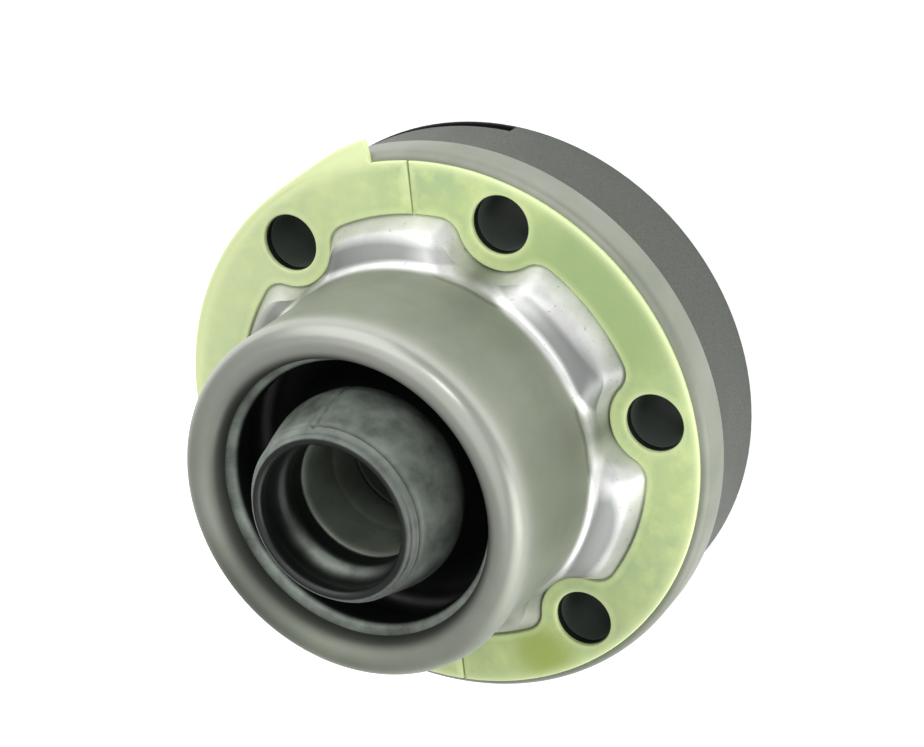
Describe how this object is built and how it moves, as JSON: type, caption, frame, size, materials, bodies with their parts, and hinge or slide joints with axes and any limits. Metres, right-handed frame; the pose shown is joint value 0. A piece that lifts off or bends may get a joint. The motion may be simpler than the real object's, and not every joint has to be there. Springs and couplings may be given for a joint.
{
  "type": "cv joint",
  "caption": "Disc-type constant velocity joint with a bolted outer race, caged balls, lobed sheet-metal boot can and rubber boot with a shaft collar.",
  "frame": {"origin": "centre of the bolt circle on the outer race's rear face, which lies on the mating flange", "axes": "+Z along the joint's axis from the rear face towards the boot; +X through one bolt hole; the joint swings about an axis parallel to X"},
  "size_m": [0.104, 0.1066, 0.0666],
  "materials": {
    "phosphated_steel": "phosphated, matt",
    "pressed_steel": "satin pressed sheet",
    "release_liner": "soft film",
    "boot_rubber": "moulded, matt",
    "seal_rubber": "matt",
    "zinc_sheet": "zinc plated",
    "hardened_steel": "ground, oiled",
    "turned_steel": "turned",
    "bearing_steel": "polished"
  },
  "bodies": {
    "housing": {"outer_race": "phosphated_steel", "flange_gasket": "seal_rubber", "boot_can": "pressed_steel", "liner_left": "release_liner", "liner_right": "release_liner", "rubber_boot": "boot_rubber", "rear_cover": "zinc_sheet", "cover_seal": "seal_rubber"},
    "cage": {"cage": "hardened_steel", "ball_1": "bearing_steel", "ball_2": "bearing_steel", "ball_3": "bearing_steel", "ball_4": "bearing_steel", "ball_5": "bearing_steel", "ball_6": "bearing_steel"},
    "inner": {"inner_race": "hardened_steel", "sleeve": "turned_steel", "sleeve_seal": "seal_rubber", "shaft_ring": "turned_steel", "boot_collar": "boot_rubber"}
  },
  "joints": [
    {"name": "inner_swing", "type": "hinge", "parent": "housing", "child": "inner", "pos_m": [0, 0, 0.0146], "axis": [1, 0, 0], "range_deg": [-8, 8], "stiffness_Nm_per_rad": 0.4},
    {"name": "cage_swing", "type": "hinge", "parent": "housing", "child": "cage", "pos_m": [0, 0, 0.0146], "axis": [1, 0, 0], "range_deg": [-4, 4]}
  ],
  "couplings": [
    {"joint": "cage_swing", "follows": "inner_swing", "ratio": 0.5}
  ]
}
